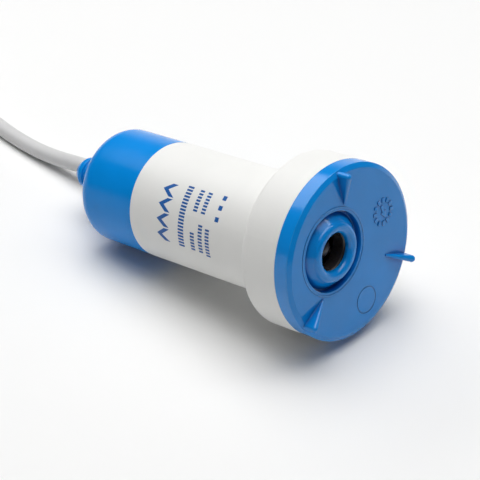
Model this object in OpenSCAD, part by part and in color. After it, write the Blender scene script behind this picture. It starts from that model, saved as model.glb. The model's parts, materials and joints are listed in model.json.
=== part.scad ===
// Submersible caravan water pump, lying on its side as it is laid on a table.
// Each piece is drawn in the pump's own frame: +Z runs from the foot's flat face along the
// motor axis to the hose tail, and +X points to the side where tube and collar are flush.
// lay() then puts the pump on the floor. All sizes are in millimetres.

/* [Body] */
// Outer diameter of the tube
tube_d = 38; // [34:0.5:44]
// Wall of the tube
tube_wall = 2.5; // [1.8:0.1:3]
// Length of the tube above the collar
tube_h = 49; // [46:0.5:60]
// Outer diameter of the collar and the foot
collar_d = 56; // [52:0.5:64]
// Wall of the collar
collar_wall = 2.5; // [1.8:0.1:3]
// Height of the collar above the foot
collar_h = 14.3; // [13:0.1:18]
// Thickness of the collar's roof
collar_roof = 2.5; // [2.2:0.1:4]
// Rounding of the collar's upper edge
collar_round = 2; // [0.5:0.1:2.4]
// Step between collar and tube on the flush side
flush_step = 0.5; // [0.3:0.1:2]

/* [Foot] */
// Height of the foot's rim
foot_h = 5.7; // [5:0.1:8]
// Width of the bevel round the foot's face
bevel_w = 1.5; // [0.5:0.1:2]
// Height of that bevel
bevel_h = 0.9; // [0.4:0.1:2]
// Thickness of the foot's face plate
foot_plate = 2.4; // [1.8:0.1:3]
// Length of the foot's spigot in the collar
foot_spigot_h = 4; // [3.6:0.1:5]
// Wall of the foot's spigot
foot_spigot_wall = 2.4; // [2.2:0.1:3]
// Number of fins that hold the inlet off the tank floor
fin_count = 3; // [3:1:6]
// Height of a fin at its outer end
fin_h = 4.2; // [3:0.1:6]
// Thickness of a fin at its outer end
fin_t = 2.2; // [1.6:0.1:3]
// Thickness of a fin at its inner end
fin_tip_t = 0.8; // [0.5:0.1:1.4]
// Length of a fin along the radius
fin_l = 9.6; // [7:0.2:12]
// Distance of a fin's outer end from the rim
fin_inset = 0.3; // [0.2:0.1:1]

/* [Inlet] */
// Diameter of the inlet hole
inlet_d = 12; // [9:0.2:13]
// Width of the rounded lip round the inlet hole
lip_w = 3.8; // [3:0.1:4]
// Height of the lip above the foot's face
lip_rise = 1.7; // [0.5:0.1:1.7]
// Diameter of the recess at the foot's face
recess_d = 25.4; // [24:0.2:27]
// Depth of the recess
recess_depth = 2.2; // [2:0.1:3]
// Slope of the recess's outer wall, measured across the wall
recess_draft = 0.3; // [0.2:0.1:0.6]
// Width of the groove's floor round the nozzle's base
groove_w = 0.3; // [0.2:0.1:1]
// Wall of the recess cup
cup_wall = 2; // [1.4:0.1:2.4]

/* [Face marks] */
// Diameter of the moulded tick dial on the foot's face
dial_d = 9; // [6:0.5:10]
// Number of ticks on the dial
tick_count = 12; // [6:1:12]
// Diameter of the plain moulded ring beside it
mark_d = 9; // [5:0.5:10]
// Depth of the sunk marks and height of the raised ones
mark_depth = 0.3; // [0.1:0.05:0.5]
// Distance of the raised ring from the recess's edge
bead_gap = 0.8; // [0.4:0.1:1.5]

/* [Cap] */
// Height of the cap
cap_h = 26.5; // [22:0.5:34]
// Rounding of the cap's upper edge
cap_round = 6; // [3:0.5:8]
// Wall of the cap
cap_wall = 2.2; // [1.8:0.1:2.6]
// Length of the cap's spigot in the tube
cap_spigot_h = 5; // [4:0.1:6]
// Wall of the cap's spigot
cap_spigot_wall = 2.2; // [2:0.1:3]
// Thickness of the cap's shoulder above the spigot
cap_shoulder = 2.5; // [2:0.1:4]

/* [Hose tail] */
// Diameter over the ridges
ridge_d = 10.5; // [9.6:0.1:13]
// Diameter of the barrel between the ridges
barrel_d = 9.2; // [8.6:0.1:9.4]
// Bore of the hose tail
hose_bore = 7; // [5:0.1:7]
// Length of the hose tail
tail_h = 16.5; // [15:0.5:26]
// Number of ridges
ridge_count = 3; // [2:1:4]
// Length of the straight land on each ridge
ridge_land = 1.6; // [0.8:0.1:2]
// Diameter of the tip
tail_tip_d = 8; // [7.6:0.1:8.5]

/* [Bulkhead and motor sleeve] */
// Thickness of the bulkhead between pump chamber and motor
bulkhead_t = 3; // [3:0.1:5]
// Diameter of the seal housing under the bulkhead
seal_boss_d = 13; // [11:0.1:16]
// Depth of the seal housing below the collar's roof
seal_boss_h = 2.5; // [2:0.1:3]
// Number of ports that lead the water into the tube
port_count = 6; // [4:1:8]
// Width of the water passage between motor sleeve and tube
passage_w = 3.1; // [2.6:0.1:4]
// Wall of the motor sleeve
sleeve_wall = 1.1; // [0.8:0.1:1.4]
// Room above the motor for its leads
lead_room = 4; // [3.6:0.1:6]
// Thickness of the sleeve's lid
lid_t = 2; // [1.5:0.1:3]
// Length of the lid's spigot in the sleeve
lid_spigot_h = 3; // [2.4:0.1:3.4]

/* [Motor] */
// Gap between motor can and sleeve
motor_gap = 0.3; // [0.1:0.1:0.8]
// Length of the motor can
motor_h = 30; // [28:0.5:32]
// Sheet thickness of the motor can
can_wall = 1; // [0.6:0.1:1.2]
// Thickness of the motor's end bell
bell_t = 3; // [2.4:0.1:4]
// Diameter of the bearing boss on the can
boss_d = 6; // [5.6:0.1:7]
// Height of that boss
boss_h = 1.4; // [1:0.1:1.5]
// Outer diameter of the bearing bushes
bush_d = 4.6; // [4.2:0.1:5]
// Thickness of the field magnets
magnet_t = 2.8; // [2:0.1:3]
// Length of the field magnets
magnet_h = 20; // [16:0.5:21]

/* [Rotor] */
// Diameter of the motor shaft
shaft_d = 2.3; // [2:0.1:3]
// Length of the armature core
core_h = 14; // [10:0.5:15]
// Air gap between armature and magnets
air_gap = 0.4; // [0.3:0.05:0.8]
// Number of armature poles
pole_count = 3; // [3:1:4]
// Width of a pole's neck
neck_w = 3; // [2:0.1:3.4]
// Thickness of a winding round its neck
winding_t = 1.3; // [0.8:0.1:1.4]
// Diameter of the commutator
commutator_d = 5.2; // [4.6:0.1:6]
// Length of the commutator
commutator_h = 4.5; // [3.5:0.1:4.8]

/* [Impeller] */
// Gap between impeller and foot spigot where they come closest
impeller_gap = 1; // [0.6:0.1:2]
// Thickness of a vane
vane_t = 1.3; // [1:0.1:2]
// Number of vanes
vane_count = 6; // [4:1:8]
// Radius of a vane's curve
vane_r = 9; // [8:0.5:12]
// Thickness of the impeller's disc
shroud_t = 1.6; // [1.2:0.1:1.8]
// Diameter of the impeller's hub
hub_d = 6.4; // [5:0.1:7]
// Thickness of the impeller's front plate
front_t = 0.9; // [0.7:0.1:1.2]
// Wall of the neck that runs in the inlet nozzle
neck_wall = 1.2; // [0.8:0.1:1.4]

/* [Cable] */
// Diameter of the cable
cable_d = 5.5; // [4:0.1:6]
// Distance of the cable gland from the motor axis
gland_x = 11.5; // [10.6:0.1:12]
// Diameter of the grommet's neck
grommet_d = 7.4; // [7:0.1:7.8]
// Diameter of the grommet's flanges
flange_d = 9.4; // [9:0.1:10]
// Thickness of the grommet's flanges
flange_t = 1.5; // [1:0.1:1.6]
// Length of the grommet's tapered strain relief
relief_h = 13; // [10:0.5:16]
// Distance between the turns of the put-away coil, from surface to surface
coil_gap = 0.6; // [0.5:0.1:1]
// Turns of the put-away coil
coil_turns = 4.625; // [2.625:1:5.625]
// Length of the two stripped cores at the cable's end
core_l = 24; // [18:1:30]

/* [Fits] */
// Radial gap of a spigot in its seat
slide_gap = 0.1; // [0.05:0.01:0.15]
// Radial gap of the shaft in its bushes
run_gap = 0.03; // [0.02:0.01:0.06]
// Gap beside a seal ring
seal_gap = 0.03; // [0.02:0.01:0.05]
// Section of the seal rings of cap and foot
ring_d = 1.5; // [1.2:0.1:1.6]
// Gap between the impeller's neck and the nozzle round it
neck_gap = 0.6; // [0.4:0.1:0.8]
// Gap between brush and commutator, and at the thrust washers
brush_gap = 0.1; // [0.06:0.01:0.2]

/* [Hidden] */
$fn = 64;
cut = 0.5;
quarter = 90;

// Radii and heights that follow from the sizes above
tube_r = tube_d / 2;
bore_r = tube_r - tube_wall;
collar_r = collar_d / 2;
chamber_r = collar_r - collar_wall;
offset_x = collar_r - tube_r - flush_step;
collar_top = foot_h + collar_h;
roof_z = collar_top - collar_roof;
seam_z = collar_top + tube_h;
cap_top = seam_z + cap_h;
tail_end = cap_top + tail_h;

// Pose on the floor: the pump lies on the collar's upper edge and the cap's upper edge, with
// the flush side turned roll_deg from straight up
roll_deg = 62;
low_collar = -offset_x * cos(roll_deg) - (collar_r - collar_round);
low_cap = -(tube_r - cap_round);
rest_l = (cap_top - cap_round) - (collar_top - collar_round);
rest_rise = low_cap - low_collar;
rest_span = norm([rest_l, rest_rise]);
tilt = atan2(rest_rise, rest_l) + asin((collar_round - cap_round) / rest_span);

// Reach of the pump along the floor, to both sides of the foot's face
fin_r = collar_r - fin_inset - fin_t / 2;
fin_top = fin_h - fin_t / 2;
fin_low = -offset_x * cos(roll_deg) + fin_r * cos(roll_deg + 180 / fin_count);
front_reach = fin_top * cos(tilt) - fin_low * sin(tilt) + fin_t / 2;
back_reach = tail_end * cos(tilt) + tail_tip_d / 2 * sin(tilt);
place = [(back_reach - front_reach) / 2, -offset_x * sin(roll_deg),
    (collar_top - collar_round) * sin(tilt) - low_collar * cos(tilt) + collar_round];

// Inlet nozzle, measured from the foot's face. Its throat lies in the middle of the lip.
inlet_r = inlet_d / 2;
recess_r = recess_d / 2;
lip_mid_r = inlet_r + lip_w / 2 - 0.05;
throat_z = lip_w / 2 - lip_rise;
throat_end = throat_z + 0.4;
cup_z = recess_depth + cup_wall;
eye_r = inlet_r + 0.2;
neck_r = eye_r + neck_wall;
nozzle_bore_r = neck_r + neck_gap;

// Places of the moulded marks on the foot's face
dial_r = 17.3;
dial_angle = 129;
mark_r = 19;
mark_angle = 229;

// Directions of the pump's own axes on the floor
axis_dir = [-cos(tilt), 0, -sin(tilt)];
flush_dir = [-sin(tilt) * cos(roll_deg), -sin(roll_deg), cos(tilt) * cos(roll_deg)];

// Pump chamber and motor, from the foot's face upwards
bulkhead_top = roof_z + bulkhead_t;
seal_low = roof_z - seal_boss_h;
sleeve_r = bore_r - passage_w;
sleeve_bore = sleeve_r - sleeve_wall;
motor_r = sleeve_bore - motor_gap;
motor_top = bulkhead_top + motor_h;
bell_top = motor_top + bell_t;
bell_low = motor_top - 1;
sleeve_top = bell_top + lead_room + lid_spigot_h;
shaft_r = shaft_d / 2;
bush_r = bush_d / 2;
bush_h = 3.2;
front_bush_z = bulkhead_top - boss_h;
rear_bush_z = bell_top - bush_h + 0.4;
magnet_r = motor_r - can_wall;
magnet_z = bulkhead_top + (motor_h - magnet_h) / 2 - 1.5;
core_r = magnet_r - magnet_t - air_gap;
core_hub_r = shaft_r + 1.4;
shoe_t = 1.4;
core_z = magnet_z + (magnet_h - core_h) / 2;
washer_t = 0.4;
washer_r = bush_r + 0.4;
washer_low = front_bush_z + bush_h + brush_gap;
washer_high = bell_low - brush_gap - washer_t;
commutator_r = commutator_d / 2;
commutator_z = washer_high - commutator_h;
shaft_top = bell_top + 0.2;
brush_w = 2.2;
brush_l = 2.4;
brush_z = commutator_z + 0.8;
brush_h = commutator_h - 1.6;

// Impeller
foot_spigot_r = chamber_r - slide_gap;
impeller_r = foot_spigot_r - foot_spigot_wall - offset_x - impeller_gap;
hub_r = hub_d / 2;
disc_top = seal_low - 0.7;
disc_low = disc_top - shroud_t;
front_low = cup_z + neck_gap;
vane_low = front_low + front_t;
vane_h = disc_low - vane_low;
shaft_low = vane_low + 1.2;

// Seal seats
ring_r = ring_d / 2;
foot_ring_z = foot_h + foot_spigot_h / 2;
cap_spigot_r = bore_r - slide_gap;
cap_ring_z = seam_z - cap_spigot_h / 2;
lid_spigot_r = sleeve_bore - slide_gap;
lid_ring_d = 1.2;
lid_ring_z = sleeve_top - lid_spigot_h / 2;
shaft_seal_r = 4;
shaft_seal_h = 3;

// Cable inside the cap, from the motor axis to the gland
cable_r = cable_d / 2;
cable_low = sleeve_top - lid_spigot_h;
bend_low = sleeve_top + lid_t + 0.5;
grommet_low = cap_top - cap_wall - flange_t;
bend_high = grommet_low - 0.3;
gland_boss_top = cap_top + 1;
grommet_end = gland_boss_top + flange_t + relief_h;
relief_tip_r = cable_r + 0.6;
bend_steps = 8;
inner_bend = [for (i = [0 : bend_steps]) [-gland_x * ease(i / bend_steps), 0,
    bend_low + (bend_high - bend_low) * i / bend_steps]];
inner_route = concat([[0, 0, cable_low]], inner_bend, [[-gland_x, 0, grommet_end]]);

// Leads of the motor
lead_d = 1.4;
lead_step = 1.3;
tab_x = 7;
tab_t = 0.5;
tab_w = 2.8;
tab_top = bell_top + 2.2;

// Free cable on the floor, laid towards the coil. The first two points leave the grommet.
coil_lift = 0.8;
coil_r = 27;
coil_centre = [-218, 2];
coil_entry = 75;
coil_layer = cable_d + coil_gap;
coil_z = coil_lift + cable_r;
gland_exit = on_floor([-gland_x, 0, grommet_end]);
coil_start = [coil_centre[0] + coil_r * cos(coil_entry) + cable_d * sin(coil_entry),
    coil_centre[1] + coil_r * sin(coil_entry) - cable_d * cos(coil_entry), coil_z];
route = [gland_exit, gland_exit + 8 * axis_dir, [-75, 2.3, cable_r + 3.5], [-85, 2.2, cable_r + 1.6],
    [-95, 2.2, cable_r + 0.5], [-105, 2.7, cable_r + 0.1], [-115, 3.6, cable_r + 0.05],
    [-125, 5.2, cable_r + 0.05], [-137, 7.8, cable_r + 0.05], [-150, 11.4, cable_r + 0.05],
    [-165, 16, cable_r + 0.15], [-180, 20.2, cable_r + 0.35], [-194, 24, cable_r + 0.6], coil_start];
run_sides = 10;

// Coil: turns stacked on each other, each level for part of its way and then climbing a layer
loop_rings = 24;
loop_sides = 6;
level_part = 0.5;
function ease(t) = t <= 0 ? 0 : t >= 1 ? 1 : t * t * (3 - 2 * t);
function climb(t) = floor(t) + ease((t - floor(t) - level_part) / (1 - level_part));
function coil_point(t) = [coil_centre[0] + coil_r * cos(coil_entry + 360 * t),
    coil_centre[1] + coil_r * sin(coil_entry + 360 * t), coil_z + coil_layer * climb(t)];
coil_steps = round(coil_turns * loop_rings);
coil_turn_points = [for (i = [0 : coil_steps]) coil_point(i * coil_turns / coil_steps)];
coil_end_dir = unit(coil_turn_points[coil_steps] - coil_turn_points[coil_steps - 1]);
coil_end = coil_turn_points[coil_steps] + cable_d * coil_end_dir;
coil_points = concat([coil_start], coil_turn_points, [coil_end]);

// Least gap of the coil to itself, between rings that lie more than a third of a turn apart
coil_far = loop_rings / 3;
coil_gaps = [for (i = [0 : coil_steps]) for (j = [i + coil_far : coil_steps])
    norm(coil_turn_points[i] - coil_turn_points[j]) - cable_d];
echo(least_coil_gap = min(coil_gaps));

// Length of the cable from the grommet to the ends of its cores
function path_length(p, i = 0) = i >= len(p) - 1 ? 0 : norm(p[i + 1] - p[i]) + path_length(p, i + 1);
tip_l = 6;
echo(cable_length = path_length(route) + path_length(coil_points) + core_l + tip_l);

// Core wires at the cable's end
wire_d = 1.9;
wire_step = 1.3;
copper_d = 1;

// Vectors and swept tubes
function unit(v) = v / norm(v);
function on_floor(p) = place + p[0] * flush_dir + p[1] * cross(axis_dir, flush_dir) + p[2] * axis_dir;
function tangent(p, i) = unit(p[min(i + 1, len(p) - 1)] - p[max(i - 1, 0)]);
function ring(centre, dir, r, sides) =
    let (side = unit(cross(dir, [0, 0, 1])), up = cross(side, dir))
    [for (k = [0 : sides - 1]) centre + r * (cos(360 * k / sides) * side + sin(360 * k / sides) * up)];

// Tube of triangles along a list of points, closed at both ends
module swept_tube(points, r, sides) {
    last = len(points) - 1;
    corners = [for (i = [0 : last]) each ring(points[i], tangent(points, i), r, sides)];
    walls = [for (i = [0 : last - 1]) for (k = [0 : sides - 1])
        let (a = i * sides + k, b = i * sides + (k + 1) % sides)
        each [[a, b + sides, b], [a, a + sides, b + sides]]];
    first_end = [for (k = [1 : sides - 2]) [0, k, k + 1]];
    last_end = [for (k = [1 : sides - 2]) [last * sides, last * sides + k + 1, last * sides + k]];
    polyhedron(points = corners, faces = concat(walls, first_end, last_end));
}

// Puts a piece drawn in the pump's own frame on the floor
module lay() {
    translate(place) rotate([0, -(quarter + tilt), 0]) rotate([0, 0, -roll_deg]) children();
}

module at_collar() {
    translate([-offset_x, 0, 0]) children();
}

module lift(z) {
    translate([0, 0, z]) children();
}

// Plain shapes of revolution
module tube_between(r_in, r_out, z_low, z_high) {
    lift(z_low) difference() {
        cylinder(r = r_out, h = z_high - z_low);
        lift(-cut) cylinder(r = r_in, h = z_high - z_low + 2 * cut);
    }
}

module seal_torus(r_mid, r_section) {
    rotate_extrude() translate([r_mid, 0]) circle(r = r_section, $fn = 24);
}

// Round can with a rounded upper edge
module rounded_can(r, h, round) {
    cylinder(r = r, h = h - round);
    cylinder(r = r - round, h = h);
    lift(h - round) seal_torus(r - round, round);
}

module groove(r_out, z, section) {
    tube_between(r_out - section + seal_gap - slide_gap, r_out + cut, z - section / 2 - seal_gap,
        z + section / 2 + seal_gap);
}

// White moulding: tube and pump collar in one
module body_shell() {
    color("whitesmoke") lay() difference() {
        union() {
            at_collar() lift(foot_h) rounded_can(collar_r, collar_h, collar_round);
            lift(collar_top - collar_roof) cylinder(r = tube_r, h = tube_h + collar_roof);
        }
        at_collar() lift(foot_h - cut) cylinder(r = chamber_r, h = roof_z - foot_h + cut);
        lift(roof_z - cut) cylinder(r = bore_r, h = seam_z - roof_z + 2 * cut);
    }
}

// One fin with a rounded ridge, tapered in height and thickness, on the foot's face
module fin() {
    fin_in = fin_r - fin_l;
    ridge = norm([fin_l, fin_top]);
    web_in = fin_tip_t / 2 - 0.03;
    web_out = fin_t / 2 - 0.03;
    intersection() {
        rotate([quarter, 0, 0]) lift(-fin_t) linear_extrude(2 * fin_t)
            polygon([[fin_in, cut], [fin_r, cut], [fin_r, -fin_top], [fin_in, 0]]);
        lift(-fin_h) linear_extrude(fin_h + 2 * cut)
            polygon([[fin_in, -web_in], [fin_r, -web_out], [fin_r, web_out], [fin_in, web_in]]);
    }
    translate([fin_r, 0, -fin_top]) cylinder(d = fin_t, h = fin_top + cut);
    translate([fin_r, 0, -fin_top]) sphere(d = fin_t);
    translate([fin_in, 0, 0]) rotate([0, quarter + atan2(fin_top, fin_l), 0])
        cylinder(d1 = fin_tip_t, d2 = fin_t, h = ridge);
}

// Round recess in the foot's face
module inlet_recess() {
    rotate_extrude() polygon([[0, -cut], [recess_r, -cut], [recess_r, 0],
        [recess_r - recess_draft, recess_depth], [0, recess_depth]]);
}

// Inlet nozzle that stands in the recess: a wide cone under a rounded lip, which stands 0.1 mm proud of it
module nozzle() {
    base_r = recess_r - recess_draft - groove_w;
    lip_r = lip_w / 2;
    cone_r = lip_r - 0.1;
    across = base_r - lip_mid_r;
    down = recess_depth - throat_z;
    slope = atan2(down, across) + asin(cone_r / norm([across, down]));
    rotate_extrude() polygon([[0, throat_z], [lip_mid_r, throat_z],
        [lip_mid_r + cone_r * sin(slope), throat_z - cone_r * cos(slope)],
        [base_r, recess_depth], [base_r, recess_depth + cut], [0, recess_depth + cut]]);
    lift(throat_z) seal_torus(lip_mid_r, lip_r);
}

module foot_rim() {
    rotate_extrude() polygon([[0, 0], [collar_r - bevel_w, 0], [collar_r, bevel_h],
        [collar_r, foot_h], [foot_spigot_r, foot_h], [foot_spigot_r, foot_h + foot_spigot_h],
        [foot_spigot_r - foot_spigot_wall, foot_h + foot_spigot_h],
        [foot_spigot_r - foot_spigot_wall, foot_plate], [0, foot_plate]]);
}

// Place on the foot's face, by distance from the collar's axis and by angle
module on_face(r, angle) {
    at_collar() rotate([0, 0, angle]) translate([r, 0, 0]) children();
}

// Raised ticks of the dial
module dial_ticks() {
    tick_l = 1.4;
    tick_w = 1;
    for (k = [0 : tick_count - 1]) rotate([0, 0, k * 360 / tick_count])
        translate([dial_d / 2 - tick_l, -tick_w / 2, -mark_depth]) cube([tick_l, tick_w, mark_depth + cut]);
}

// Raised arrow in the middle of the dial
module dial_arrow() {
    arm = dial_d / 4;
    shank = 0.45;
    head = 1.2;
    lift(-mark_depth) linear_extrude(mark_depth + cut) polygon([[-arm, -shank], [0, -shank], [0, -head],
        [arm, 0], [0, head], [0, shank], [-arm, shank]]);
}

// Blue foot: rim, inlet nozzle in its recess and the fins it stands on
module foot_cover() {
    color("royalblue") lay() {
        difference() {
            union() {
                difference() {
                    union() {
                        at_collar() foot_rim();
                        cylinder(r = recess_r + cup_wall, h = cup_z);
                    }
                    inlet_recess();
                }
                nozzle();
            }
            lift(-lip_rise - cut) cylinder(r = inlet_r, h = cup_z);
            lift(throat_end) cylinder(r = nozzle_bore_r, h = cup_z);
            at_collar() groove(foot_spigot_r, foot_ring_z, ring_d);
            on_face(mark_r, mark_angle) tube_between(mark_d / 2 - 0.4, mark_d / 2, -cut, mark_depth / 2);
        }
        tube_between(recess_r + bead_gap, recess_r + bead_gap + 0.4, -mark_depth / 2, cut);
        on_face(dial_r, dial_angle) dial_ticks();
        on_face(dial_r, dial_angle) rotate([0, 0, 100]) dial_arrow();
        at_collar() for (k = [0 : fin_count - 1]) rotate([0, 0, 180 + k * 360 / fin_count]) fin();
    }
}

// Hose tail: barrel with saw-tooth ridges that hold the hose
module hose_tail() {
    ridge_r = ridge_d / 2;
    barrel_r = barrel_d / 2;
    root_h = 2.6;
    pitch = (tail_h - root_h) / ridge_count;
    teeth = [for (k = [0 : ridge_count - 1]) let (z = root_h + k * pitch + 0.6) each
        [[barrel_r, z], [ridge_r, z + 0.4], [ridge_r, z + 0.4 + ridge_land],
            [k == ridge_count - 1 ? tail_tip_d / 2 : barrel_r, root_h + (k + 1) * pitch]]];
    rotate_extrude() polygon(concat([[0, -cap_wall / 2], [barrel_r + 1.2, -cap_wall / 2],
        [barrel_r + 1.2, root_h - 1.2], [barrel_r, root_h]], teeth, [[0, tail_h]]));
}

// Blue cap: rounded dome with the hose tail on the axis and the cable gland beside it
module top_cap() {
    color("royalblue") lay() difference() {
        union() {
            lift(seam_z) rounded_can(tube_r, cap_h, cap_round);
            tube_between(cap_spigot_r - cap_spigot_wall, cap_spigot_r, seam_z - cap_spigot_h, seam_z + 1);
            lift(cap_top) hose_tail();
            translate([-gland_x, 0, cap_top - cap_wall])
                cylinder(d = flange_d, h = gland_boss_top - cap_top + cap_wall);
        }
        lift(seam_z + cap_shoulder) rounded_can(tube_r - cap_wall, cap_h - cap_shoulder - cap_wall,
            cap_round - cap_wall);
        lift(seam_z - cut) cylinder(r = cap_spigot_r - cap_spigot_wall, h = cap_shoulder + 2 * cut);
        lift(cap_top - cap_wall - cut) cylinder(d = hose_bore, h = tail_h + cap_wall + 2 * cut);
        translate([-gland_x, 0, grommet_low]) cylinder(d = grommet_d, h = flange_t + cap_wall + 2);
        translate([-gland_x, 0, grommet_low - 1]) cylinder(r = flange_d / 2 + slide_gap, h = flange_t + 1);
        groove(cap_spigot_r, cap_ring_z, ring_d);
    }
}

module foot_seal() {
    color("black") lay() at_collar() lift(foot_ring_z)
        seal_torus(chamber_r - ring_r - seal_gap, ring_r - seal_gap);
}

module cap_seal() {
    color("black") lay() lift(cap_ring_z) seal_torus(bore_r - ring_r - seal_gap, ring_r - seal_gap);
}

// Bulkhead between pump chamber and motor, with the seal housing and the water ports
module bulkhead() {
    port_in = sleeve_r + 0.5;
    port_out = bore_r - 0.9;
    port_span = 360 / port_count - 16;
    color("silver") lay() difference() {
        union() {
            lift(roof_z) cylinder(r = bore_r - slide_gap, h = bulkhead_t);
            lift(seal_low) cylinder(d = seal_boss_d, h = seal_boss_h + cut);
        }
        lift(seal_low - cut) cylinder(r = shaft_seal_r, h = shaft_seal_h + cut);
        lift(seal_low) cylinder(r = shaft_r + 0.6, h = bulkhead_top);
        lift(front_bush_z - 0.2) cylinder(r = boss_d / 2 + slide_gap, h = boss_h + cut);
        for (k = [0 : port_count - 1]) rotate([0, 0, k * 360 / port_count]) lift(roof_z - cut)
            rotate_extrude(angle = port_span) translate([port_in, 0])
                square([port_out - port_in, bulkhead_t + 2 * cut]);
    }
}

// Lip seal of the shaft
module shaft_seal() {
    lip_r = shaft_r + run_gap;
    color("dimgray") lay() lift(seal_low) rotate_extrude() polygon([[lip_r, 0.3], [lip_r, 0.7], [2.2, 1.4],
        [2.2, shaft_seal_h - 0.8], [shaft_r + 0.5, shaft_seal_h - 0.8], [shaft_r + 0.5, shaft_seal_h],
        [shaft_seal_r - seal_gap, shaft_seal_h], [shaft_seal_r - seal_gap, 0], [2.4, 0]]);
}

module motor_sleeve() {
    color("gainsboro") lay() tube_between(sleeve_bore, sleeve_r, bulkhead_top, sleeve_top);
}

// Lid that closes the motor sleeve round the cable
module sleeve_lid() {
    color("gainsboro") lay() difference() {
        union() {
            lift(sleeve_top) cylinder(r = sleeve_r, h = lid_t);
            lift(cable_low) cylinder(r = lid_spigot_r, h = lid_spigot_h + cut);
        }
        lift(cable_low - cut) cylinder(r = cable_r, h = lid_spigot_h + lid_t + 2 * cut);
        groove(lid_spigot_r, lid_ring_z, lid_ring_d);
    }
}

module sleeve_seal() {
    color("black") lay() lift(lid_ring_z)
        seal_torus(sleeve_bore - lid_ring_d / 2 - seal_gap, lid_ring_d / 2 - seal_gap);
}

// Drawn steel can of the motor, with its bearing boss
module motor_can() {
    color("lightsteelblue") lay() difference() {
        union() {
            lift(bulkhead_top) cylinder(r = motor_r, h = motor_h);
            lift(front_bush_z) cylinder(d = boss_d, h = boss_h + cut);
        }
        lift(bulkhead_top + can_wall) cylinder(r = magnet_r, h = motor_h);
        lift(front_bush_z - cut) cylinder(r = bush_r, h = bush_h);
    }
}

// Moulded end bell that carries the brush gear
module end_bell() {
    color("ivory") lay() difference() {
        union() {
            lift(motor_top) cylinder(r = motor_r, h = bell_t);
            lift(bell_low) cylinder(r = magnet_r - slide_gap, h = 1 + cut);
        }
        lift(bell_low - cut) cylinder(r = shaft_r + 0.8, h = bell_t + 2);
        lift(rear_bush_z) cylinder(r = bush_r, h = bush_h + cut);
        for (s = [-1, 1]) translate([s * tab_x - tab_t / 2, -tab_w / 2, bell_low - cut])
            cube([tab_t, tab_w, bell_t + 2 + cut]);
    }
}

// Two curved field magnets on the can's wall
module field_magnets() {
    span = 124;
    color("dimgray") lay() for (s = [0, 180]) rotate([0, 0, s - span / 2]) lift(magnet_z)
        rotate_extrude(angle = span) translate([magnet_r - magnet_t, 0]) square([magnet_t, magnet_h]);
}

module bush(z) {
    tube_between(shaft_r + run_gap, bush_r, z, z + bush_h);
}

module front_bush() {
    color("peru") lay() bush(front_bush_z);
}

module rear_bush() {
    color("peru") lay() bush(rear_bush_z);
}

// Carbon brushes on both sides of the commutator
module brushes() {
    color("dimgray") lay() for (s = [0, 180]) rotate([0, 0, s])
        translate([-brush_w / 2, commutator_r + brush_gap, brush_z]) cube([brush_w, brush_l, brush_h]);
}

// Leaf springs from the end bell that press the brushes
module brush_springs() {
    leaf = 0.4;
    leaf_z = brush_z + brush_h / 4;
    color("goldenrod") lay() for (s = [0, 180]) rotate([0, 0, s])
        translate([-brush_w / 2, commutator_r + brush_gap + brush_l, leaf_z])
            cube([brush_w, leaf, bell_low - leaf_z]);
}

module terminals() {
    color("silver") lay() for (s = [-1, 1]) translate([s * tab_x - tab_t / 2, -tab_w / 2, bell_low])
        cube([tab_t, tab_w, tab_top - bell_low]);
}

// Two insulated leads from the cable to the terminals
module lead_wires() {
    low = tab_top - 1.4;
    high = cable_low - lead_d / 2 - 0.3;
    bend = tab_x - tab_t / 2 - lead_d / 2;
    color("firebrick") lay() for (s = [-1, 1]) {
        points = [[s * bend, 0, low], [s * bend, 0, high], [s * lead_step, 0, high],
            [s * lead_step, 0, cable_low]];
        for (i = [0 : len(points) - 2]) rod(points[i], points[i + 1], lead_d);
        for (i = [1 : len(points) - 2]) translate(points[i]) sphere(d = lead_d);
    }
}

// Round bar between two points
module rod(a, b, d) {
    v = b - a;
    translate(a) rotate([0, acos(v[2] / norm(v)), atan2(v[1], v[0])]) cylinder(d = d, h = norm(v));
}

// Cable from the sleeve's lid to the gland's mouth, crossing over under the cap
module inner_cable() {
    color("lightgray") swept_tube([for (p = inner_route) on_floor(p)], cable_r, run_sides);
}

// Rubber grommet in the cap, with its tapered strain relief
module cable_grommet() {
    neck_r = grommet_d / 2;
    flange_r = flange_d / 2;
    under = cap_top - cap_wall;
    color("silver") lay() translate([-gland_x, 0, 0]) rotate_extrude()
        polygon([[cable_r, grommet_low], [flange_r, grommet_low], [flange_r, under], [neck_r, under],
            [neck_r, gland_boss_top], [flange_r, gland_boss_top], [flange_r, gland_boss_top + flange_t],
            [flange_r - 0.7, gland_boss_top + flange_t], [relief_tip_r, grommet_end],
            [cable_r, grommet_end]]);
}

module cable_run() {
    color("lightgray") swept_tube(route, cable_r, run_sides);
}

module cable_coil() {
    color("lightgray") swept_tube(coil_points, cable_r, loop_sides);
}

// Flat band round the coil's turns, where they lie level
module coil_tie() {
    tie_w = 4;
    tie_t = 0.6;
    room = 0.15;
    tie_turn = level_part / 2;
    turns_in = coil_r - cable_r - room;
    band = cable_d + 2 * room;
    tie_low = coil_lift - room;
    tie_h = band + coil_layer * floor(coil_turns - tie_turn);
    color("white") translate([coil_centre[0], coil_centre[1], 0])
        rotate([0, 0, coil_entry + 360 * tie_turn]) translate([turns_in, -tie_w / 2, tie_low])
            difference() {
                translate([-tie_t, 0, -tie_t]) cube([band + 2 * tie_t, tie_w, tie_h + 2 * tie_t]);
                translate([0, -cut, 0]) cube([band, tie_w + 2 * cut, tie_h]);
            }
}

// Both insulated cores at the cable's far end, side by side
module at_coil_end(along) {
    side = unit(cross(coil_end_dir, [0, 0, 1]));
    for (s = [-1, 1]) translate(coil_end + along * coil_end_dir + s * wire_step * side)
        rotate([0, acos(coil_end_dir[2]), atan2(coil_end_dir[1], coil_end_dir[0])]) children();
}

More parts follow.
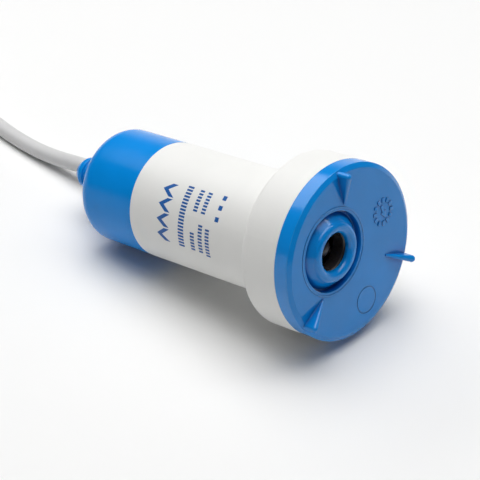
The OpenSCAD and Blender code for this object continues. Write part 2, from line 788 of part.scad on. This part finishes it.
module cable_cores() {
    color("saddlebrown") at_coil_end(0) cylinder(d = wire_d, h = core_l);
}

module core_tips() {
    color("orange") at_coil_end(core_l) cylinder(d = copper_d, h = tip_l);
}

module motor_shaft() {
    color("silver") lay() lift(shaft_low) cylinder(r = shaft_r, h = shaft_top - shaft_low);
}

// Laminated armature core with its poles
module armature_core() {
    shoe_span = 360 / pole_count - 22;
    neck_l = core_r - core_hub_r + cut - shoe_t / 2;
    color("slategray") lay() difference() {
        lift(core_z) union() {
            cylinder(r = core_hub_r, h = core_h);
            for (k = [0 : pole_count - 1]) rotate([0, 0, k * 360 / pole_count]) {
                translate([core_hub_r - cut, -neck_w / 2, 0]) cube([neck_l, neck_w, core_h]);
                rotate([0, 0, -shoe_span / 2]) rotate_extrude(angle = shoe_span)
                    translate([core_r - shoe_t, 0]) square([shoe_t, core_h]);
            }
        }
        lift(core_z - cut) cylinder(r = shaft_r, h = core_h + 2 * cut);
    }
}

// Copper windings, one round each pole's neck, rounded off under the pole's shoe
module armature_windings() {
    r_in = core_hub_r + 0.8;
    r_out = core_r - shoe_t - 0.15;
    winding_h = core_h + 2 * winding_t;
    color("chocolate") lay() for (k = [0 : pole_count - 1]) rotate([0, 0, k * 360 / pole_count])
        difference() {
            intersection() {
                translate([r_in, -neck_w / 2 - winding_t, core_z - winding_t])
                    cube([r_out, neck_w + 2 * winding_t, winding_h]);
                lift(core_z - 2 * winding_t) cylinder(r = r_out, h = winding_h + 2 * winding_t);
            }
            translate([r_in - cut, -neck_w / 2, core_z]) cube([r_out + cut, neck_w, core_h]);
        }
}

// Commutator with one segment for each pole
module commutator() {
    slot = 0.4;
    color("chocolate") lay() difference() {
        tube_between(shaft_r, commutator_r, commutator_z, commutator_z + commutator_h);
        for (k = [0 : pole_count - 1]) rotate([0, 0, k * 360 / pole_count + 60])
            translate([shaft_r + 0.6, -slot / 2, commutator_z - cut])
                cube([commutator_r, slot, commutator_h + 2 * cut]);
    }
}

module thrust_washers() {
    color("white") lay() {
        tube_between(shaft_r, washer_r, washer_low, washer_low + washer_t);
        tube_between(shaft_r, washer_r, washer_high, washer_high + washer_t);
    }
}

// One backward-curved vane as a slice of a ring
module vane() {
    reach = impeller_r - 0.3;
    half_chord = (reach - hub_r) / 2;
    span = 2 * asin(half_chord / vane_r);
    translate([hub_r + half_chord, -vane_r * cos(span / 2), 0]) rotate([0, 0, quarter - span / 2])
        rotate_extrude(angle = span) translate([vane_r - vane_t / 2, 0]) square([vane_t, vane_h + cut]);
}

// Impeller: disc, curved vanes and a hub whose rounded nose shows through the inlet
module impeller() {
    color("#202020") lay() difference() {
        union() {
            lift(disc_low) cylinder(r = impeller_r, h = shroud_t);
            lift(vane_low) cylinder(r = hub_r, h = disc_top - vane_low);
            lift(vane_low) sphere(r = hub_r);
            lift(vane_low) for (k = [0 : vane_count - 1]) rotate([0, 0, k * 360 / vane_count]) vane();
        }
        lift(shaft_low) cylinder(r = shaft_r, h = disc_top - vane_low);
    }
}

// Front plate on the vanes, with the neck that runs in the inlet nozzle
module impeller_eye() {
    mouth = throat_end + neck_gap;
    chamfer = neck_wall / 3;
    color("#202020") lay() rotate_extrude() polygon([[eye_r, mouth + chamfer], [eye_r + chamfer, mouth],
        [neck_r, mouth], [neck_r, front_low], [impeller_r, front_low], [impeller_r, vane_low],
        [eye_r, vane_low]]);
}

body_shell();
foot_cover();
top_cap();
foot_seal();
cap_seal();
bulkhead();
shaft_seal();
motor_sleeve();
sleeve_lid();
sleeve_seal();
motor_can();
end_bell();
field_magnets();
front_bush();
rear_bush();
brushes();
brush_springs();
terminals();
lead_wires();
inner_cable();
cable_grommet();
cable_run();
cable_coil();
coil_tie();
cable_cores();
core_tips();
motor_shaft();
armature_core();
armature_windings();
commutator();
thrust_washers();
impeller();
impeller_eye();
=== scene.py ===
import bpy
import json
import math
from mathutils import Matrix, Vector


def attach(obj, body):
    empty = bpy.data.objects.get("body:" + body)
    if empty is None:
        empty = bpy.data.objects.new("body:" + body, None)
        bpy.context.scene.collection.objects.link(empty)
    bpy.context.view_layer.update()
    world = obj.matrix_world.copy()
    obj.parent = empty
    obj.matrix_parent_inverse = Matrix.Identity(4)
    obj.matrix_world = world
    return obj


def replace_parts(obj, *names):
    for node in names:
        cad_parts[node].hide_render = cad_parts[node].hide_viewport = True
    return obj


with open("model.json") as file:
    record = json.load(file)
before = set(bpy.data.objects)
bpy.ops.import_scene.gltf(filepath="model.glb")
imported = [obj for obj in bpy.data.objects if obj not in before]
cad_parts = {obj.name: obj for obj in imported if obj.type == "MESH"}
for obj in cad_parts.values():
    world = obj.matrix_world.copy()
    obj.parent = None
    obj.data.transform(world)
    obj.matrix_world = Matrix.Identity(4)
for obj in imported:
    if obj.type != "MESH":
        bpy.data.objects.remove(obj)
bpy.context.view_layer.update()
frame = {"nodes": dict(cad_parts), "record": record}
nodes = frame["nodes"]
scene = bpy.context.scene
scene.view_settings.view_transform = "Standard"

MM = 0.001
WHITE = (1, 1, 1, 1)

# Pump frame, as in the part's source: Z along the motor axis, X towards the flush side
ROLL = math.radians(62)
TILT = math.radians(10.2472)
PLACE = Vector((51.7785, -7.50505, 34.7143)) * MM
AXIS = Vector((-math.cos(TILT), 0, -math.sin(TILT)))
FLUSH = Vector((-math.sin(TILT) * math.cos(ROLL), -math.sin(ROLL),
                math.cos(TILT) * math.cos(ROLL)))
SIDE = AXIS.cross(FLUSH)


def pump_point(x, y, z):
    """A point of the pump frame, in millimetres, as a point of the row frame in metres."""
    return PLACE + (x * FLUSH + y * SIDE + z * AXIS) * MM


def tube_point(angle, z, r):
    """A point on a round wall about the motor axis, by its angle in degrees."""
    a = math.radians(angle)
    return pump_point(r * math.cos(a), r * math.sin(a), z)


def new_object(name, data):
    """An object of the scene that shows the given data."""
    obj = bpy.data.objects.new(name, data)
    scene.collection.objects.link(obj)
    return obj


# Shader nodes: each helper adds nodes to a tree and returns the output that carries the result

def fill(tree, node, inputs):
    """The node, with a plain value or another node's output on each input that is named."""
    for name, value in inputs.items():
        if isinstance(value, bpy.types.NodeSocket):
            tree.links.new(value, node.inputs[name])
        else:
            node.inputs[name].default_value = value
    return node


def calculated(tree, operation, first, second):
    """A number from two numbers."""
    node = tree.nodes.new("ShaderNodeMath")
    node.operation = operation
    return fill(tree, node, {0: first, 1: second}).outputs["Value"]


def measured(tree, operation, *vectors):
    """A number from one or two vectors."""
    node = tree.nodes.new("ShaderNodeVectorMath")
    node.operation = operation
    return fill(tree, node, dict(enumerate(vectors))).outputs["Value"]


def mapped(tree, value, start, end, low=0.0, high=1.0):
    """A number that goes from low to high while the value goes from start to end."""
    node = tree.nodes.new("ShaderNodeMapRange")
    inputs = {"Value": value, "From Min": start, "From Max": end, "To Min": low, "To Max": high}
    return fill(tree, node, inputs).outputs["Result"]


def mixed(tree, share, first, second):
    """A colour between two colours."""
    node = tree.nodes.new("ShaderNodeMix")
    node.data_type = "RGBA"
    return fill(tree, node, {"Factor": share, "A": first, "B": second}).outputs["Result"]


def noise(tree, scale, detail):
    """Noise in the coordinates of the piece."""
    spot = tree.nodes.new("ShaderNodeTexCoord").outputs["Object"]
    node = tree.nodes.new("ShaderNodeTexNoise")
    return fill(tree, node, {"Vector": spot, "Scale": scale, "Detail": detail}).outputs["Fac"]


# Materials: scale and detail of each noise, and the numbers between which it mostly lies
MOTTLE = (60.0, 4.0)
GRAIN = (900.0, 2.0)
PATCHES = (500.0, 3.0)
NOISE_SPAN = (0.3, 0.7)

# How far the gloss varies, how deep the grain is in metres, and how much of an edge is rubbed
# paler, as wear and as a painted highlight
ROUGH_SPREAD = 0.05
GRAIN_DEPTH = 0.0001
RUBBED_HIGHLIGHT_SPAN = (0.1, 0.8)

# Edges: how far the rounded normal turns, as a cosine, where an edge starts and where it is full
EDGE_SAMPLES = 6
EDGE_SPAN = (0.99, 0.85)

# Painted shade in recesses: how far it reaches in millimetres, and how open a spot is where it
# starts and is full
RECESS_SHADE_SAMPLES = 8
RECESS_SHADE_REACH = 2.0
RECESS_SHADE_SPAN = (0.95, 0.5)


def new_material(name):
    mat = bpy.data.materials.new(name)
    mat.use_nodes = True
    return mat, mat.node_tree, mat.node_tree.nodes["Principled BSDF"]


def rounded_normal(tree, radius):
    """The normal of the surface as if its edges were rounded, so that they catch light."""
    node = tree.nodes.new("ShaderNodeBevel")
    node.samples = EDGE_SAMPLES
    return fill(tree, node, {"Radius": radius * MM}).outputs["Normal"]


def edge_share(tree, rounded):
    """1 on an edge, 0 off it."""
    flat = tree.nodes.new("ShaderNodeNewGeometry").outputs["Normal"]
    return mapped(tree, measured(tree, "DOT_PRODUCT", rounded, flat), *EDGE_SPAN)


def painted_shade_share(tree):
    """Where shade is painted: 1 in narrow grooves and sharp inner corners, 0 on open surfaces."""
    node = tree.nodes.new("ShaderNodeAmbientOcclusion")
    node.samples = RECESS_SHADE_SAMPLES
    node.only_local = True
    return mapped(tree, fill(tree, node, {"Distance": RECESS_SHADE_REACH * MM}).outputs["AO"], *RECESS_SHADE_SPAN)


def surface(name, color, rough, metal=0.0, tone=0.04, bump=0.05, specular=0.5, edge=0.0,
            rubbed_and_highlight=None, recess_shade=None):
    """A worn, slightly uneven surface: colour, gloss and height vary a little, edges are rubbed
    paler, partly as wear and partly as a painted highlight, and narrow recesses are darkened as
    painted shade."""
    mat, tree, bsdf = new_material(name)
    mottle = noise(tree, *MOTTLE)
    dark, light = ((*(c * k for c in color), 1) for k in (1 - tone, 1 + tone))
    paint = mixed(tree, mapped(tree, mottle, *NOISE_SPAN), dark, light)
    relief = {"Height": noise(tree, *GRAIN), "Strength": bump, "Distance": GRAIN_DEPTH}
    if edge:
        relief["Normal"] = rounded_normal(tree, edge)
    # Paler edges: partly rubbed wear, partly a painted highlight that brightens the edges whatever
    # the lamps do
    if rubbed_and_highlight:
        patches = mapped(tree, noise(tree, *PATCHES), *NOISE_SPAN, *RUBBED_HIGHLIGHT_SPAN)
        worn_and_highlight = calculated(tree, "MULTIPLY", edge_share(tree, relief["Normal"]), patches)
        paint = mixed(tree, worn_and_highlight, paint, (*rubbed_and_highlight, 1))
    # Painted shade: narrow recesses and sharp inner corners are darkened by how closed in they are
    if recess_shade:
        paint = mixed(tree, painted_shade_share(tree), paint, (*recess_shade, 1))
    fill(tree, bsdf, {
        "Base Color": paint,
        "Roughness": mapped(tree, mottle, *NOISE_SPAN, rough - ROUGH_SPREAD, rough + ROUGH_SPREAD),
        "Metallic": metal,
        "Specular IOR Level": specular,
        "Normal": fill(tree, tree.nodes.new("ShaderNodeBump"), relief).outputs["Normal"],
    })
    return mat


BLUE = (0.0, 0.25, 0.73)
# Colour of the painted shade in the narrow recesses of the blue plastics
RECESS_SHADE_COLOR = (0.0, 0.12, 0.45)
LOOKS = {
    "white_plastic": dict(color=(0.84, 0.84, 0.82), rough=0.42, tone=0.015, edge=0.3),
    # Blue plastics: the pale edge colour is partly wear and partly a painted highlight, the dark
    # recess colour is painted shade
    "blue_plastic": dict(color=BLUE, rough=0.15, tone=0.05, edge=0.35,
                         rubbed_and_highlight=(0.12, 0.45, 0.8), recess_shade=RECESS_SHADE_COLOR),
    "cap_plastic": dict(color=BLUE, rough=0.17, tone=0.05, specular=0.2, edge=0.35,
                        rubbed_and_highlight=(0.1, 0.4, 0.78), recess_shade=RECESS_SHADE_COLOR),
    "grey_plastic": dict(color=(0.52, 0.53, 0.54), rough=0.5),
    "black_plastic": dict(color=(0.05, 0.043, 0.043), rough=0.25, edge=0.2),
    "black_rubber": dict(color=(0.02, 0.02, 0.02), rough=0.6, bump=0.15),
    "grey_rubber": dict(color=(0.6, 0.6, 0.59), rough=0.55, bump=0.12),
    "cable_sheath": dict(color=(0.62, 0.62, 0.62), rough=0.45, bump=0.1),
    "core_sleeve": dict(color=(0.3, 0.09, 0.04), rough=0.4),
    "copper": dict(color=(0.72, 0.34, 0.17), rough=0.3, metal=1.0, bump=0.2),
    "bronze": dict(color=(0.56, 0.4, 0.2), rough=0.45, metal=1.0, bump=0.25),
    "steel": dict(color=(0.6, 0.61, 0.62), rough=0.25, metal=1.0, bump=0.1),
    "zinc_steel": dict(color=(0.62, 0.64, 0.66), rough=0.35, metal=1.0, tone=0.1),
    "magnet": dict(color=(0.07, 0.07, 0.075), rough=0.7, bump=0.3),
    "lamination": dict(color=(0.3, 0.31, 0.33), rough=0.5, metal=1.0, bump=0.3),
    "tie_band": dict(color=(0.8, 0.8, 0.78), rough=0.4),
    "ink": dict(color=(0.004, 0.10, 0.38), rough=0.5, tone=0.12),
}
MATERIALS = {name: surface(name, **look) for name, look in LOOKS.items()}

for part in frame["record"]["subparts"]:
    look = "cap_plastic" if part["node"] == "top_cap" else part["material_slot"]
    materials = nodes[part["node"]].data.materials
    materials.clear()
    materials.append(MATERIALS[look])

# Cable: one curve from the grommet's mouth through the run and the coil, in millimetres
CABLE_D = 5.5
CABLE_R = CABLE_D / 2
CABLE_ROUNDNESS = 8
GLAND_X = 11.5
GROMMET_END = 111.0
GLAND_LEAD = 8
COIL_R = 27.0
COIL_MID = (-218.0, 2.0)
COIL_ENTRY = math.radians(75)
COIL_GAP = 0.6
COIL_LAYER = CABLE_D + COIL_GAP
COIL_LIFT = 0.8
COIL_Z = COIL_LIFT + CABLE_R
COIL_TURNS = 4.625
LEVEL_PART = 0.5
LOOP_RINGS = 24

# Run over the floor: x, y, and the sheath's height over the floor
RUN = (
    (-75, 2.3, 3.5), (-85, 2.2, 1.6), (-95, 2.2, 0.5), (-105, 2.7, 0.1), (-115, 3.6, 0.05),
    (-125, 5.2, 0.05), (-137, 7.8, 0.05), (-150, 11.4, 0.05), (-165, 16, 0.15),
    (-180, 20.2, 0.35), (-194, 24, 0.6),
)

# Weights of the near and the far points in a smooth curve's point halfway between two points
NEAR_WEIGHT = 0.5625
FAR_WEIGHT = -0.0625


def ease(t):
    """0 up to t = 0 and 1 from t = 1, with a smooth rise between."""
    t = min(max(t, 0.0), 1.0)
    return t * t * (3 - 2 * t)


def coil_point(t):
    """A point of the stacked coil after t turns; each turn lies level and then climbs a layer."""
    a = COIL_ENTRY + 2 * math.pi * t
    whole = math.floor(t)
    z = COIL_Z + COIL_LAYER * (whole + ease((t - whole - LEVEL_PART) / (1 - LEVEL_PART)))
    x = COIL_MID[0] + COIL_R * math.cos(a)
    y = COIL_MID[1] + COIL_R * math.sin(a)
    return Vector((x, y, z)) * MM


def smooth_points(points):
    """The same points with one more between each two, on a smooth curve through them."""
    out = []
    for i in range(len(points) - 1):
        before = points[max(i - 1, 0)]
        after = points[min(i + 2, len(points) - 1)]
        a, b = points[i], points[i + 1]
        out += [a, (a + b) * NEAR_WEIGHT + (before + after) * FAR_WEIGHT]
    return out + [points[-1]]


def cable_curve(name, points):
    """A length of cable through the points."""
    data = bpy.data.curves.new(name, "CURVE")
    data.dimensions = "3D"
    data.bevel_depth = CABLE_R * MM
    data.bevel_resolution = CABLE_ROUNDNESS
    data.use_fill_caps = True
    spline = data.splines.new("POLY")
    spline.points.add(len(points) - 1)
    for spot, p in zip(spline.points, points):
        spot.co = (*p, 1)
    spline.use_smooth = True
    obj = new_object(name, data)
    data.materials.append(MATERIALS["cable_sheath"])
    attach(obj, "pump")
    return obj


gland_exit = pump_point(-GLAND_X, 0, GROMMET_END)
entry_way = Vector((-math.sin(COIL_ENTRY), math.cos(COIL_ENTRY), 0))
coil_start = coil_point(0) - entry_way * CABLE_D * MM
run = [Vector((x, y, CABLE_R + height)) * MM for x, y, height in RUN]
route = [gland_exit, gland_exit + GLAND_LEAD * MM * AXIS] + run + [coil_start]
coil_steps = round(COIL_TURNS * LOOP_RINGS)
coil = [coil_point(i * COIL_TURNS / coil_steps) for i in range(coil_steps + 1)]
coil_end = coil[-1] + (coil[-1] - coil[-2]).normalized() * CABLE_D * MM
cable_points = smooth_points(route + coil + [coil_end])
cable = cable_curve("supply_cable", cable_points)
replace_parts(cable, "cable_run", "cable_coil")

# Cable under the cap: up the motor axis, and over to the gland in one bend
INNER_LOW, BEND_LOW, BEND_HIGH = 57.5, 63.0, 91.5
BEND_STEPS = 16
inner = [pump_point(0, 0, INNER_LOW)]
for i in range(BEND_STEPS + 1):
    share = i / BEND_STEPS
    inner.append(pump_point(-GLAND_X * ease(share), 0, BEND_LOW + (BEND_HIGH - BEND_LOW) * share))
inner.append(gland_exit)
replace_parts(cable_curve("cable_under_cap", inner), "inner_cable")

# Plain print on the tube: chevrons that point to the hose tail, rows of ticks and three squares
TUBE_R = 19.0
PRINT_R = TUBE_R + 0.03
PRINT_LOW_R = TUBE_R - 0.02

# Degrees about the motor axis that one face of a band may span
BAND_STEP = 3.25

# Corners of a band's section: share of its height, and radius
BAND_CORNERS = ((-0.5, PRINT_R), (0.5, PRINT_R), (0.5, PRINT_LOW_R), (-0.5, PRINT_LOW_R))

# Chevrons: start, pitch and width in degrees, then z, height of the line and rise in millimetres
CHEVRON_COUNT = 4
CHEVRON_START, CHEVRON_PITCH, CHEVRON_W = -33.0, 14.6, 13.0
CHEVRON_Z, CHEVRON_LINE, CHEVRON_PEAK = 52.4, 2.2, 3.2

# Ticks: pitch, width, start and end in degrees, z and height in millimetres
TICK_PITCH, TICK_W = 3.2, 1.9
TICK_ROWS = (
    (-33, 26, 46.0, 2.4),
    (-33, -14, 41.0, 1.7), (5, 25, 41.0, 1.7),
    (-33, -7, 37.6, 1.7), (5, 25, 37.6, 1.7),
    (-35, -7, 34.6, 1.7),
)

# Squares: middles in degrees, z and size in millimetres
SQUARE_ANGLES = (4, 15, 25)
SQUARE_Z, SQUARE_SIZE = 31.5, 1.5
print_verts, print_faces = [], []


def add_band(start, width, z, height, peak=0.0):
    """A thin closed band of ink, whose middle rises by peak to make a chevron."""
    steps = max(1, math.ceil(width / BAND_STEP))
    corners = len(BAND_CORNERS)
    first = len(print_verts)
    last = first + corners * steps
    for i in range(steps + 1):
        share = i / steps
        middle = z + peak * (1 - abs(2 * share - 1))
        for side, r in BAND_CORNERS:
            print_verts.append(tube_point(start + width * share, middle + side * height, r))
    for k in range(first, last, corners):
        for a in range(corners):
            b = (a + 1) % corners
            print_faces.append((k + a, k + a + corners, k + b + corners, k + b))
    print_faces.append(tuple(range(first, first + corners)))
    print_faces.append(tuple(range(last + corners - 1, last - 1, -1)))


for k in range(CHEVRON_COUNT):
    add_band(CHEVRON_START + k * CHEVRON_PITCH, CHEVRON_W, CHEVRON_Z, CHEVRON_LINE, CHEVRON_PEAK)
for start, end, z, height in TICK_ROWS:
    for k in range(int((end - start) / TICK_PITCH) + 1):
        add_band(start + k * TICK_PITCH, TICK_W, z, height)
square_width = math.degrees(SQUARE_SIZE / TUBE_R)
for angle in SQUARE_ANGLES:
    add_band(angle - square_width / 2, square_width, SQUARE_Z, SQUARE_SIZE)
mesh = bpy.data.meshes.new("plain_print")
mesh.from_pydata(print_verts, [], print_faces)
mesh.materials.append(MATERIALS["ink"])
plain_print = new_object("plain_print", mesh)
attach(plain_print, "pump")

# Floor: pale paper, with a glow far from the pump, where the lamps fade
FLOOR = 4.0
FLOOR_COLOR = (0.87, 0.87, 0.865, 1)
FLOOR_ROUGH = 0.6
FLOOR_SPECULAR = 0.2

# Glow: distances from the pump where it starts and where it is full, and its strength there
GLOW_SPAN = (0.45, 2.0)
GLOW_STRENGTH = (0.02, 0.75)
floor_mat, tree, bsdf = new_material("floor")
fill(tree, bsdf, {"Base Color": FLOOR_COLOR, "Roughness": FLOOR_ROUGH,
                  "Specular IOR Level": FLOOR_SPECULAR})
path = tree.nodes.new("ShaderNodeLightPath").outputs
mirrored = calculated(tree, "MAXIMUM", path["Is Glossy Ray"], path["Is Transmission Ray"])
seen = calculated(tree, "MAXIMUM", path["Is Camera Ray"], mirrored)
spot = tree.nodes.new("ShaderNodeTexCoord").outputs["Object"]
far = mapped(tree, measured(tree, "LENGTH", spot), *GLOW_SPAN, *GLOW_STRENGTH)
glow = fill(tree, tree.nodes.new("ShaderNodeEmission"),
            {"Color": WHITE, "Strength": calculated(tree, "MULTIPLY", seen, far)})
both = fill(tree, tree.nodes.new("ShaderNodeAddShader"), {0: bsdf.outputs[0], 1: glow.outputs[0]})
fill(tree, tree.nodes["Material Output"], {"Surface": both.outputs[0]})
floor_data = bpy.data.meshes.new("floor")
floor_data.from_pydata([(x * FLOOR, y * FLOOR, 0) for x, y in ((-1, -1), (1, -1), (1, 1), (-1, 1))],
                       [], [(0, 1, 2, 3)])
floor_data.materials.append(floor_mat)
floor = new_object("floor", floor_data)

# Room: dim, pale where it is seen, with a low backdrop behind the pump that gloss mirrors
ROOM_LIGHT = 0.08
ROOM_SEEN = 0.85

# Backdrop: the way to it, and where it fades in from its sides and from its top
BACKDROP_WAY = (-0.66, 0.75, 0)
BACKDROP_SIDE = (0.5, 0.85)
BACKDROP_TOP = (0.35, 0.12)
world = bpy.data.worlds.new("room")
world.use_nodes = True
tree = world.node_tree
path = tree.nodes.new("ShaderNodeLightPath").outputs
way = tree.nodes.new("ShaderNodeTexCoord").outputs["Generated"]
behind = mapped(tree, measured(tree, "DOT_PRODUCT", way, BACKDROP_WAY), *BACKDROP_SIDE)
upward = fill(tree, tree.nodes.new("ShaderNodeSeparateXYZ"), {0: way}).outputs["Z"]
backdrop = calculated(tree, "MULTIPLY", behind, mapped(tree, upward, *BACKDROP_TOP))
mirrored = calculated(tree, "MULTIPLY", path["Is Glossy Ray"], backdrop)
seen = calculated(tree, "MAXIMUM", path["Is Camera Ray"], path["Is Transmission Ray"])
pale = calculated(tree, "MAXIMUM", seen, mirrored)
fill(tree, tree.nodes["Background"],
     {"Color": WHITE, "Strength": mapped(tree, pale, 0.0, 1.0, ROOM_LIGHT, ROOM_SEEN)})
scene.world = world

# Light: three soft lamps over the pump, a strip and a small lamp that the foot's edges mirror
PUMP_MID = (0, 0, 0.03)

# Lamps: name, place, point that it faces, width, height and power
LAMPS = (
    ("key_lamp", (0, 0.1, 1.3), PUMP_MID, 1.5, 1.5, 10.2),
    ("left_lamp", (-0.3, 0.1, 1.2), PUMP_MID, 0.9, 0.9, 4.2),
    ("near_lamp", (0, 0.1, 0.8), PUMP_MID, 0.6, 0.6, 2.0),
    ("left_strip", (-0.82, 0.12, 0.75), (0.04, 0, 0.05), 0.9, 0.22, 1.7),
    ("small_lamp", (0.4, 0.57, 0.8), (0.05, 0, 0.03), 0.12, 0.12, 0.3),
)
for name, place, aim, width, height, power in LAMPS:
    data = bpy.data.lights.new(name, "AREA")
    data.shape = "RECTANGLE"
    data.size = width
    data.size_y = height
    data.energy = power
    lamp = new_object(name, data)
    lamp.location = place
    lamp.rotation_mode = "QUATERNION"
    lamp.rotation_quaternion = (Vector(aim) - Vector(place)).to_track_quat("-Z", "Y")

# Camera, fitted to the photograph's edges; its focal length is in pixels of the photograph
CAMERA_PLACE = (0.32234076, -0.33668125, 0.33633970)
RIGHT = Vector((0.72931097, 0.68418236, 0))
FORWARD = Vector((-0.56072245, 0.59770765, -0.57300602))
UP = RIGHT.cross(FORWARD)
FOCAL_LENGTH = 1750.4
PHOTO_WIDTH = 480
SENSOR_WIDTH = 36.0
NEAREST = 0.01
cam_data = bpy.data.cameras.new("camera")
cam_data.sensor_width = SENSOR_WIDTH
cam_data.lens = SENSOR_WIDTH * FOCAL_LENGTH / PHOTO_WIDTH
cam_data.clip_start = NEAREST
cam = new_object("camera", cam_data)
turn = Matrix((RIGHT, UP, -FORWARD)).transposed()
cam.matrix_world = Matrix.Translation(CAMERA_PLACE) @ turn.to_4x4()
scene.camera = cam
